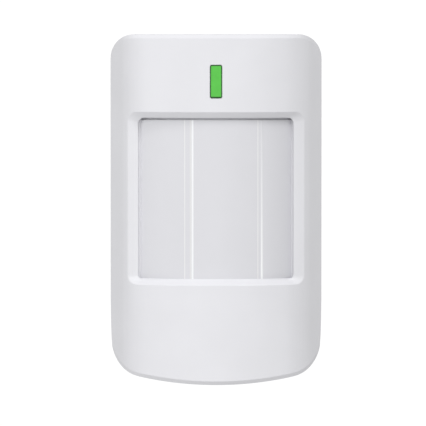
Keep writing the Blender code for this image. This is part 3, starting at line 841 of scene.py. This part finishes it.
def make_lens():
    """Milky sheet, painted darker towards its right edge as shade. A step along its upper edge leaves a dark
    groove under the window's frame.
    """
    step = WINDOW_OPENING[2] - 0.5
    section = (
        (LENS_STEP, LENS_HIGH),
        (LENS_STEP, step),
        (0.0, step - 0.1),
        (0.0, LENS_LOW),
        (LENS_THICKNESS, LENS_LOW),
        (LENS_THICKNESS, LENS_HIGH),
    )
    sheet = loft("lens_sheet", sheet_rings(LENS_RADIUS, section, LENS_HALF_WIDTH, 72))
    dress(sheet, "lens_white", "lens", body="cover")


def make_lens_seats():
    """Rib behind each upright edge of the window, which slopes down to the lens."""
    half_width, low, high, _ = WINDOW_OPENING
    section = (
        (LENS_SEAT_X, LENS_SEAT_BACK),
        (LENS_SEAT_X, LENS_SEAT_BACK - 0.32),
        (LENS_SEAT_X + 0.5, LENS_SEAT_FRONT),
        (half_width + 0.2, LENS_SEAT_FRONT + 0.1),
        (LENS_SEAT_END, LENS_SEAT_FRONT + 0.1),
        (LENS_SEAT_END, LENS_SEAT_BACK),
    )
    for side, tag in SIDES:
        rings = [[(side * x, y, z) for x, y in section] for z in (low - 0.6, high + 0.2)]
        seat = loft("lens_seat_" + tag, rings)
        # The right seat takes the lens's look, painted darker there as shade; the left one keeps the case's
        # white.
        dress(seat, "case_white", body="cover", look="lens_white" if side > 0 else "case_white")


def make_lens_sill():
    """Sloped bead that closes the gap between the lens and the window's lower edge."""
    low = WINDOW_OPENING[1]
    section = ((0.3, low - 0.5), (-0.3, low - 0.5), (-0.28, low - 0.02), (0.02, low + 0.3), (0.3, low + 0.3))
    bead = loft("lens_sill", sheet_rings(LENS_RADIUS, section, WINDOW_OPENING[0] - 0.3, 48, 0))
    dress(bead, "lens_white", body="cover", look="case_white")


def make_lens_rib(name, x, width, height, look):
    """Fine upright moulding line on the lens, where one column of segments meets the next. Its look is
    lighter than the lens, as a painted highlight.
    """
    middle = asin(x / LENS_RADIUS)
    half_turn = width / 2 / LENS_RADIUS
    shares = [i / 4 - 1 for i in range(9)]
    crown = [(share, height * (1 - share**2) - 0.02) for share in shares]
    section = []
    for share, rise in crown + [(1, -0.2), (-1, -0.2)]:
        radius = LENS_RADIUS + rise
        turn = middle + half_turn * share
        section.append((radius * sin(turn), LENS_AXIS_Y - radius * cos(turn)))
    low, high = WINDOW_OPENING[1] - 0.8, WINDOW_OPENING[2] - 0.6
    rib = loft(name, [[(x, y, z) for x, y in section] for z in (low, high)])
    dress(rib, "lens_white", body="cover", look=look)


def make_lens_clamp():
    """Frame behind the lens that holds its edges."""
    radius = LENS_RADIUS - LENS_THICKNESS - 0.3
    low, high = LENS_LOW - 1.0, LENS_HIGH + 1.0
    section = ((0.0, high), (0.0, low), (CLAMP_THICKNESS, low), (CLAMP_THICKNESS, high))
    clamp = loft("lens_frame", sheet_rings(radius, section, LENS_HALF_WIDTH - 0.9, 60))
    half_width, low, high, _ = WINDOW_OPENING
    outline = window_loop(half_width - 2, low + 1, high - 1, 1.5)
    cut(clamp, loft("clamp_opening", [[(x, y, z) for x, z in outline] for y in (-50, -20)]))
    dress(clamp, "inner_white", "lens_clamp", body="cover")


def make_light_pipe():
    """Green window, the dark line round it and the flange that holds it behind the cover. The dark line is
    painted shade of the gap round the window, wider along the bottom.
    """
    _, low, high, _ = SLOT
    edge = ((0.1, 0), (0.02, 0.05), (0, 0.15))
    rings = [slot_loop(-PIPE_GAP - shrink, PIPE_FRONT + back) for shrink, back in edge]
    rings.append(slot_loop(-PIPE_GAP, -14.8))
    pipe = loft("indicator_window", rings)
    join(pipe, block("pipe_flange", (-2.6, -41.6, low - 0.7), (2.6, -40.4, high + 0.7), 0.2))
    dress(pipe, "green_light_pipe", "light_pipe", body="cover")

    # Dark green sheet in the gap round the window: painted shade, wider along the bottom where the shade is
    # deeper.
    rim = loft("indicator_shade_rim", [slot_loop(-0.02, y) for y in (PIPE_SHADE_RIM_FRONT, -43.2)])
    hole = []
    for x, _, z in slot_loop(-PIPE_GAP - 0.02, 0):
        hole.append((x, z if z > INDICATOR_Z else z + PIPE_SHADE_RIM_LIP))
    cut(rim, loft("rim_hole", [[(x, y, z) for x, z in hole] for y in (-45, -42)]))
    dress(rim, "green_light_pipe", body="cover", look="green_edge")


# -------- cover screw


def cross_slots(name, point, along, half_length, depth, half_width=0.25):
    """Two crossed cutters for a screw head, whose face is at the point and is entered along an axis."""
    cutters = []
    for i, across in enumerate(axis for axis in range(3) if axis != along):
        reach = Vector((half_width, half_width, half_width))
        reach[across] = half_length
        reach[along] = depth
        low, high = Vector(point) - reach, Vector(point) + reach
        low[across] -= 0.01 * i  # keeps the two cutters' ends from lying in step
        cutters.append(block(name, low, high, 0))
    return cutters


def make_cover_screw():
    """Screw with a crossed slot and a ridged shank, and the ring that keeps it in the cover."""
    head = [(0, 1.6), (0.12, 2.1), (0.5, 2.5), (1.5, 2.5), (1.5, 1.2), (2.0, 1.2)]
    thread = []
    for start in (2.4, 3.4, 4.4, 5.4, 6.4):
        thread += [(start, 0.98), (start + 0.35, 1.2), (start + 0.5, 1.2), (start + 0.85, 0.98)]
    profile = head + thread + [(8.0, 0.95), (8.5, 0.6)]
    screw = turned("cover_bolt", (0, SCREW_Y, -49.4), UP, profile, 48)
    cut(screw, *cross_slots("bolt_slot", (0, SCREW_Y, -49.4), 2, 1.4, 0.8))
    dress(screw, "steel", "cover_screw", body="cover_screw", crease=25)
    band = [(0, 1.9), (0, 2.1), (0.5, 2.1), (0.5, 1.9)]
    ring = turned("bolt_ring", (0, SCREW_Y, -44.2), UP, band, radius=0.1)
    cut(ring, rod("ring_hole", (0, SCREW_Y, -46), UP, 1.28, 4))
    dress(ring, "black_plastic", "screw_ring", body="screw_ring")


# -------- rear housing


def back_y(x):
    """Depth of the back: flat against the wall, and 45 degrees at both sides to fit a room's corner."""
    return -max(abs(x) - (HALF_WIDTH - BACK_CHAMFER), 0)


def housing_form():
    """Outer solid of the housing, with small rounded edges at its rim and round its back."""
    rings = []
    for x in stations(0):
        low, high, back = bottom_z(x, 0), top_z(x, 0), back_y(x)
        section = [(back, high), (PARTING_Y, high), (PARTING_Y, low), (back, low)]
        soft = [0.6, RIM_ROUNDING, RIM_ROUNDING, 0.6]
        rings.append([(x, y, z) for y, z in rounded(section, soft)])
    return loft("housing_shell", rings)


def hook_openings():
    openings = []
    for side, _ in SIDES:
        x0, x1 = sorted(((TAB_NEAR - 0.5) * side, (TAB_FAR + 0.5) * side))
        openings.append(block("tongue_gap", (x0, -19, 44), (x1, PARTING_Y + 0.1, 52), 0))
        openings.append(block("hook_slot", (x0, -13.2, 45), (x1, -9.5, 53), 0))
    return openings


def fork_parts():
    """Slotted lug that the cover screw grips, on two ribs."""
    parts = [block("fork_plate", (-6, -25.5, FORK_LOW), (6, -1.8, FORK_HIGH), 0.25)]
    for x in (-5.9, 4.5):
        parts.append(block("fork_rib", (x, -13.7, -48.5), (x + 1.4, -1.7, FORK_LOW + 0.5), 0))
    return parts


def knockouts():
    """Thin spots in the back and in the two corner faces, broken through for the wall screws."""
    bore = [(0, 2.4), (0.95, 2.4), (1.35, 2.7), (4, 2.7)]
    spots = [turned("spot", (0, -1.2, z), BACKWARD, bore, 48) for z in (30.0, -26.0)]
    face_x = HALF_WIDTH - BACK_CHAMFER / 2
    for side, _ in SIDES:
        out = Vector((side, 1, 0)).normalized()
        for z in (22.0, -22.0):
            start = Vector((side * face_x, -BACK_CHAMFER / 2, z)) - 1.2 * out
            spots.append(turned("spot", start, out, bore, 48))
    return spots


def make_housing():
    def inner_back(x):
        """Back of the hollow, one wall thickness in from the flat back and from its corner faces."""
        return min(-WALL, back_y(x) - (sqrt(2) - 1) * WALL - WALL)

    housing = housing_form()
    tongue = body_form("tongue", LIP_OUTER, lambda x: LIP_FRONT, lambda x: PARTING_Y + 1)
    hollow = body_form("housing_hollow", WALL, lambda x: -25, inner_back)
    join(housing, tongue)
    cut(housing, hollow, *hook_openings())
    join(housing, *fork_parts())
    cut(housing, block("fork_notch", (-1.6, -28, -44), (1.6, -20.2, -40), 0))
    for x, z in SCREW_SPOTS.values():
        join(housing, rod("post", (x, -1.7, z), FORWARD, 3.0, 6.4, 48))
        cut(housing, rod("post_hole", (x, -3.0, z), FORWARD, 1.4, 8, 32))
    for x, z in PEG_SPOTS:
        join(housing, rod("peg", (x, -1.7, z), FORWARD, 2.5, 6.4, 40))
    cut(housing, *knockouts())
    dress(housing, "case_white", "rear_housing")


# -------- circuit board and its parts


def make_board():
    """Board and the two screws that hold it."""
    low = (-BOARD_HALF_WIDTH, BOARD_FRONT, BOARD_LOW)
    high = (BOARD_HALF_WIDTH, BOARD_BACK, BOARD_HIGH)
    board = block("board_laminate", low, high, 0.12)
    for x, z in SCREW_SPOTS.values():
        cut(board, rod("board_hole", (x, -12, z), BACKWARD, 1.5, 5, 40))
    dress(board, "board_green", "circuit_board")
    for tag, (x, z) in SCREW_SPOTS.items():
        profile = [(0, 1.1), (0.15, 1.9), (0.6, 2.4), (1.9, 2.4), (1.9, 1.1), (7.6, 1.1), (8.4, 0.5)]
        screw = turned("board_bolt_" + tag, (x, BOARD_FRONT - 2.2, z), BACKWARD, profile, 40)
        cut(screw, *cross_slots("board_slot_" + tag, (x, BOARD_FRONT - 2.2, z), 1, 1.3, 0.8))
        dress(screw, "steel", "board_screw_" + tag, crease=25)


def trace_run(points, width=0.35):
    """Flat copper track under the green mask, through a list of x and z places."""
    parts = []
    for i, (start, end) in enumerate(zip(points, points[1:])):
        a, b = Vector(start), Vector(end)
        ahead = (b - a).normalized() * width / 2
        side = Vector((-ahead.y, ahead.x))
        corners = (a - ahead + side, b + ahead + side, b + ahead - side, a - ahead - side)
        faces = (BOARD_FRONT + 0.02, BOARD_FRONT - 0.035 - 0.002 * i)
        parts.append(loft("run", [[(p.x, y, p.y) for p in corners] for y in faces]))
    return parts


def make_traces():
    """Tracks between the chips, the switches, the jumper and the battery."""
    runs = []
    for i in range(6):
        level = 17.3 + 1.05 * i
        end = level + 1.2
        runs += trace_run([(-7.0, level), (-3.0 - 0.6 * i, level), (3.4 - 0.5 * i, end), (5.0, end)])
    for i in range(5):
        x = -14.0 + 1.3 * i
        runs += trace_run([(x, 23.5), (x, 26.0 + 0.8 * i), (x - 1.0 + 0.6 * i, 30.8)])
    for i in range(5):
        x = -13.7 + 1.3 * i
        runs += trace_run([(x, 16.4), (x, 12.0 - 1.4 * i), (x + 1.0, 11.0 - 1.4 * i), (-6.0, 8.0 - 1.4 * i)])
    for i in range(3):
        level = JUMPER[1] + (i - 1) * PIN_PITCH
        runs += trace_run([(-17.5, level), (-15.6 + 0.8 * i, level), (-15.6 + 0.8 * i, 16.4)])
    for i in range(4):
        level = -10.4 + 1.27 * i
        x = 1.2 - 0.5 * i
        runs += trace_run([(5.0, level), (3.5 - 0.5 * i, level), (x, level + 4.0), (x, -1.6)])
        x = 16.4 + 0.7 * i
        runs += trace_run([(11.0, level), (13.0 + 0.7 * i, level), (x, level + 3.6), (x, 8)])
    for x, far_x in ((1.3, 8.0), (-1.3, -8.0)):
        runs += trace_run([(x, 34.5), (x, 31.0), (far_x, 28.5), (far_x, 27.0)], 0.5)
    for x, far_x in ((12.0, 4.0), (-12.0, -5.0)):
        runs += trace_run([(x, 36.0), (far_x * 1.6, 38.6), (far_x, 38.6)], 0.4)
    runs += trace_run([(-21.5, -16.0), (-22.6, -10.0), (-22.6, 30.0), (-20.0, 36.0), (-18.4, 36.0)], 0.9)
    runs += trace_run([(21.6, -16.0), (22.8, -12.0), (22.8, 33.0), (18.4, 36.4)], 0.9)
    dress(group("board_tracks", runs), "board_green", look="trace_green")


def soldered_block(x, z, size, upright):
    """Small ceramic part, and the soldered caps at its two ends."""
    length, width, height = size
    half, cap = length / 2, 0.28 * length

    def part(start, end, grow, radius):
        """Block along a stretch of the part's length, grown to the front, the back and the sides."""
        a, b = (start, -width / 2 - grow), (end, width / 2 + grow)
        if upright:
            a, b = a[::-1], b[::-1]
        low = (x + a[0], BOARD_FRONT - height - grow, z + a[1])
        high = (x + b[0], BOARD_FRONT + grow / 2, z + b[1])
        return block("small_part", low, high, radius)

    caps = [part(-half, -half + cap, 0.04, 0.06), part(half - cap, half, 0.04, 0.06)]
    return caps, part(-half + cap / 2, half - cap / 2, 0, 0.05)


def make_small_parts():
    """Rows of surface-mounted resistors and capacitors, whose parts stand across the row. A row has the place
    of its first part in x and z, the step to the next one, and their number.
    """
    resistor_rows = (
        (12.9, -9.6, 0.0, 1.5, 3),
        (8.0, -4.9, 1.7, 0.0, 3),
        (-4.4, 12.6, 1.9, 0.0, 4),
        (-4.6, 25.8, 0.0, 1.6, 3),
        (12.6, 4.0, 0.0, 1.7, 4),
        (-12.0, 2.6, 1.8, 0.0, 3),
        (4.6, 36.2, 1.7, 0.0, 3),
    )
    capacitor_rows = (
        (-5.0, -4.4, 1.9, 0.0, 3),
        (2.0, 22.6, 0.0, -1.6, 2),
        (9.4, 4.0, 0.0, 1.7, 4),
        (-12.4, 6.6, 1.8, 0.0, 3),
        (-8.0, 36.2, 1.7, 0.0, 3),
    )
    caps, resistors, capacitors = [], [], []
    kinds = (
        (resistors, resistor_rows, (1.6, 0.8, 0.45)),
        (capacitors, capacitor_rows, (1.6, 0.85, 0.8)),
    )
    for parts, rows, size in kinds:
        for x, z, step_x, step_z, count in rows:
            for i in range(count):
                ends, middle = soldered_block(x + i * step_x, z + i * step_z, size, step_x != 0)
                caps += ends
                parts.append(middle)
    dress(group("solder_ends", caps), "tin")
    dress(group("chip_resistors", resistors), "black_plastic")
    dress(group("chip_capacitors", capacitors), "tin", look="ceramic")


def chip_legs(low, high, count, pitch, sides):
    """Bent flat legs along a chip's sides: out of its body, down, and out along the board."""
    top, foot, sole = BOARD_FRONT - 0.8, BOARD_FRONT - 0.12, BOARD_FRONT + 0.02
    upper = ((-0.2, top), (0.35, top), (0.5, foot), (1.0, foot))
    lower = ((1.0, sole), (0.38, sole), (0.24, top + 0.14), (-0.2, top + 0.14))
    legs = []
    for axis, sign in sides:
        across = 2 - axis
        edge = high[axis] if sign > 0 else low[axis]
        for i in range(count):
            middle = (low[across] + high[across]) / 2 + (i - (count - 1) / 2) * pitch
            rings = []
            for half_width in (-0.17, 0.17):
                ring = []
                for out, y in upper + lower:
                    point = [0, y, 0]
                    point[axis] = edge + sign * out
                    point[across] = middle + half_width
                    ring.append(point)
                rings.append(ring)
            legs.append(loft("leg", rings))
    return legs


def make_chips():
    """Chips with legs on their left and right (axis 0) or on their lower and upper side (axis 2)."""
    chips = (
        ("controller", "controller_chip", 8, 0.8, ((0, -1), (0, 1), (2, -1), (2, 1))),
        ("amplifier", "amplifier_chip", 4, 1.0, ((2, -1), (2, 1))),
    )
    for name, node, count, pitch, sides in chips:
        low, high = node_box(node)
        body = block(name + "_body", low, high, 0.18)
        dot = (low.x + 0.9, low.y - 0.3, high.z - 0.9)
        cut(body, rod("first_leg_dot", dot, BACKWARD, 0.4, 0.4, 32))
        dress(body, "black_plastic", node)
        dress(group(name + "_legs", chip_legs(low, high, count, pitch, sides)), "tin")


def make_sensor():
    seat = (0, SEAT, SENSOR_Z)
    spacer = turned("sensor_base", seat, FORWARD, [(0, 5.0), (0, 5.2), (1.2, 5.2), (1.2, 5.0)], 72, 0.15)
    dress(spacer, "inner_white", "sensor_spacer")
    profile = [(0, 4.4), (0, 4.6), (0.5, 4.6), (0.5, 4.1), (4.2, 4.1), (4.2, 3.5)]
    can = turned("sensor_shell", (0, SEAT - 1.5, SENSOR_Z), FORWARD, profile, 96, 0.25)
    cut(can, block("can_opening", (-2.6, -18, SENSOR_Z - 2.1), (2.6, -15.2, SENSOR_Z + 2.1), 0.3))
    dress(can, "tin", "sensor_can")
    low, high = node_box("sensor_window")
    dress(block("sensor_filter", low, high, 0.08), "silicon_filter", "sensor_window")


def make_led():
    dome = [(2.4 + 1.45 * sin(radians(a)), 1.5 * cos(radians(a))) for a in range(0, 90, 10)]
    profile = [(0, 1.7), (0, 1.9), (0.95, 1.9), (1.0, 1.85), (1.0, 1.5)] + dome
    led = turned("indicator_lamp", (0, SEAT, INDICATOR_Z), FORWARD, profile, 64)
    dress(led, "led_resin", "indicator_led", crease=50)


def make_tamper():
    x, z = TAMPER
    body = block("tamper_body", (x - 3, SEAT - 5, z - 3), (x + 3, SEAT, z + 3), 0.25)
    cut(body, rod("tamper_bore", (x, SEAT - 0.6, z), FORWARD, 1.7, 8, 48))
    dress(body, "black_plastic", "tamper_switch")
    profile = [(0, 1.2), (0, 1.4), (7.6, 1.4), (7.6, 2.6), (8.6, 2.6), (8.6, 2.0)]
    plunger = turned("tamper_stem", (x, -11.4, z), FORWARD, profile, 64, 0.25)
    dress(plunger, "red_plastic", "tamper_plunger", body="tamper_plunger")
    coil = wire("tamper_coil", coil_path((x, SEAT - 5.5, z), FORWARD, (2.0, 2.0), 2.7, 4), 0.2)
    dress(coil, "steel", "tamper_spring", body=None)
    settle(coil)
    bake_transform(coil)


def make_test_button():
    x, z = BUTTON
    body = block("test_body", (x - 3, SEAT - 3.4, z - 3), (x + 3, SEAT, z + 3), 0.25)
    cut(body, rod("button_bore", (x, SEAT - 1.2, z), FORWARD, 1.95, 8, 48))
    dress(body, "black_plastic", "test_switch")
    head = [(0, 0.4), (0.3, 0.4), (0.3, 0.2)]
    places = [(x + across, SEAT - 3.3, z + up) for across in (-2.2, 2.2) for up in (-2.2, 2.2)]
    rivets = [turned("rivet", place, FORWARD, head, 24, 0.08) for place in places]
    dress(group("test_rivets", rivets), "tin")
    profile = [(0, 1.5), (0, 1.65), (3.0, 1.65), (3.0, 1.2)]
    button = turned("test_cap", (x, SEAT - 1.9, z), FORWARD, profile, 48, 0.2)
    dress(button, "inner_white", "test_button", body="test_button")


def make_jumper():
    x, z = JUMPER
    base = block("pin_base", (x - 1.25, SEAT - 2.5, z - 3.81), (x + 1.25, SEAT, z + 3.81), 0.2)
    dress(base, "black_plastic", "jumper_header")
    pins = []
    for i in (-1, 0, 1):
        level = z + i * PIN_PITCH
        pins.append(block("pin", (x - 0.32, -18.5, level - 0.32), (x + 0.32, -11, level + 0.32), 0.14))
    dress(group("header_pins", pins), "tin")
    middle = z + PIN_PITCH / 2
    cap = block("jumper_link", (x - 1.2, -19.2, middle - 2.5), (x + 1.2, -13.1, middle + 2.5), 0.2)
    for i in (0, 1):
        level = z + i * PIN_PITCH
        cut(cap, block("link_hole", (x - 0.6, -18.8, level - 0.6), (x + 0.6, -12, level + 0.6), 0))
    dress(cap, "blue_plastic", "jumper_cap", body="jumper_cap")


def make_battery():
    start = (-16.9, BATTERY_Y, BATTERY_Z)
    sleeve = [(0.0, 6.9), (0.0, 7.6), (0.5, 8.5), (25.4, 8.5), (25.4, 7.0)]
    dress(turned("battery_sleeve", start, RIGHT, sleeve, 96, 0.2), "battery_wrapper", "battery")
    band = [(25.45, 7.0), (25.45, 8.5), (32.6, 8.5), (33.1, 7.6), (33.1, 6.6)]
    dress(turned("battery_band", start, RIGHT, band, 96, 0.2), "battery_wrapper", look="battery_band")
    flat = [(0.08, 6.6), (0.08, 6.95), (0.3, 6.95)]
    nub = [(32.9, 6.5), (33.0, 6.5), (33.1, 3.4), (33.9, 3.1), (34.0, 2.7)]
    ends = [turned("end_plate", start, RIGHT, flat), turned("terminal", start, RIGHT, nub)]
    dress(group("battery_ends", ends), "steel")

    y, z = BATTERY_Y, BATTERY_Z
    holder = block("battery_cradle", (-21.4, -26.0, z - 10.2), (21.4, SEAT, z + 10.2), 0.3)
    trough = rod("trough", (-20.0, y, z), RIGHT, 8.8, 40.0, 96)
    above = block("opening", (-20.0, -40, z - 8.8), (20.0, y, z + 8.8), 0)
    sides = [block("side", (-20.0, -40, z + low), (20.0, -18.5, z + low + 6), 0) for low in (-12, 6)]
    cut(holder, trough, above, *sides)
    dress(holder, "black_plastic", "battery_holder", crease=25)


def make_battery_contacts():
    y, z = BATTERY_Y, BATTERY_Z
    positive = block("contact_plate", (18.9, -25.5, z - 4), (19.3, y + 5.5, z + 4), 0.1)
    bump = turned("contact_bump", (19.05, y, z), LEFT, [(0, 2.6), (0.6, 2.3), (1.1, 1.6), (1.3, 0.9)], 48)
    dress(group("battery_plate", [positive, bump]), "steel", "battery_contact_positive")
    negative = block("contact_plate", (-19.7, -25.5, z - 4), (-19.3, y + 5.5, z + 4), 0.1)
    spring = wire("contact_coil", coil_path((-19.3, y, z), RIGHT, (3.6, 2.2), 1.65, 2.5), 0.28)
    dress(group("battery_spring", [negative, spring]), "steel", "battery_contact_negative")


def make_radio():
    low, high = node_box("radio_board")
    board = block("radio_laminate", low, high, 0.08)
    dress(board, "board_green", "radio_board")
    solder = [(0, 0.3), (0.04, 0.42), (0.75, 0.42)]
    levels = [low.z + 1.3 + 1.3 * i for i in range(9)]
    places = [(x, low.y - 0.03, level) for x in (low.x + 0.25, high.x - 0.25) for level in levels]
    pads = [turned("pad", place, BACKWARD, solder, 20) for place in places]
    dress(group("radio_pads", pads), "tin")
    low, high = node_box("radio_shield")
    shield = block("radio_cover", low, high, 0.3)
    for i in range(4):
        for j in range(4):
            place = (low.x + 2.3 + 2.0 * i, low.y - 1, low.z + 2.3 + 2.0 * j)
            cut(shield, rod("vent", place, BACKWARD, 0.45, 1.6, 20))
    dress(shield, "tin", "radio_shield")
    path = [(21.0, SEAT, -2.0), (21.0, -12.5, -2.0), (21.2, -14.2, -1.6), (22.2, -15.2, -0.9)]
    path += coil_path((20.4, -15.6, 0.0), UP, (2.4, 2.4), 19.0, 8)
    dress(wire("antenna_coil", path, 0.4), "copper", "antenna")


def make_capacitor_and_crystal():
    x, z = -18, -4.5
    profile = [(0, 2.9), (0, 3.1), (0.9, 3.15), (1.3, 2.95), (1.7, 3.15), (7.6, 3.15), (7.6, 2.6)]
    can = turned("reservoir_can", (x, SEAT, z), FORWARD, profile, 72, 0.3)
    cut(can, *cross_slots("vent", (x, SEAT - 7.6, z), 1, 2.0, 0.15, 0.1))
    dress(can, "aluminium", "capacitor")
    low, high = node_box("crystal")
    outline = window_loop((high.x - low.x) / 2, low.z, high.z, 1.95, 4)
    middle = (low.x + high.x) / 2
    brim = ((high.y, 0.0), (high.y - 0.4, 0.0), (high.y - 0.45, 0.3))
    rings = []
    for y, shrink in brim + ((low.y + 0.3, 0.3), (low.y, 0.55)):
        share_x = 1 - 2 * shrink / (high.x - low.x)
        share_z = 1 - 2 * shrink / (high.z - low.z)
        centre_z = (low.z + high.z) / 2
        rings.append([(middle + a * share_x, y, centre_z + (b - centre_z) * share_z) for a, b in outline])
    dress(loft("crystal_can", rings), "tin", "crystal")


MATERIALS = make_materials()
add_camera()
add_studio()
make_cover()
make_lens()
make_lens_seats()
make_lens_sill()
for line in LENS_LINES:
    make_lens_rib(*line)
make_lens_clamp()
make_light_pipe()
make_cover_screw()
make_housing()
make_board()
make_traces()
make_small_parts()
make_chips()
make_sensor()
make_led()
make_tamper()
make_test_button()
make_jumper()
make_battery()
make_battery_contacts()
make_radio()
make_capacitor_and_crystal()

bpy.context.scene.view_settings.view_transform = "Standard"
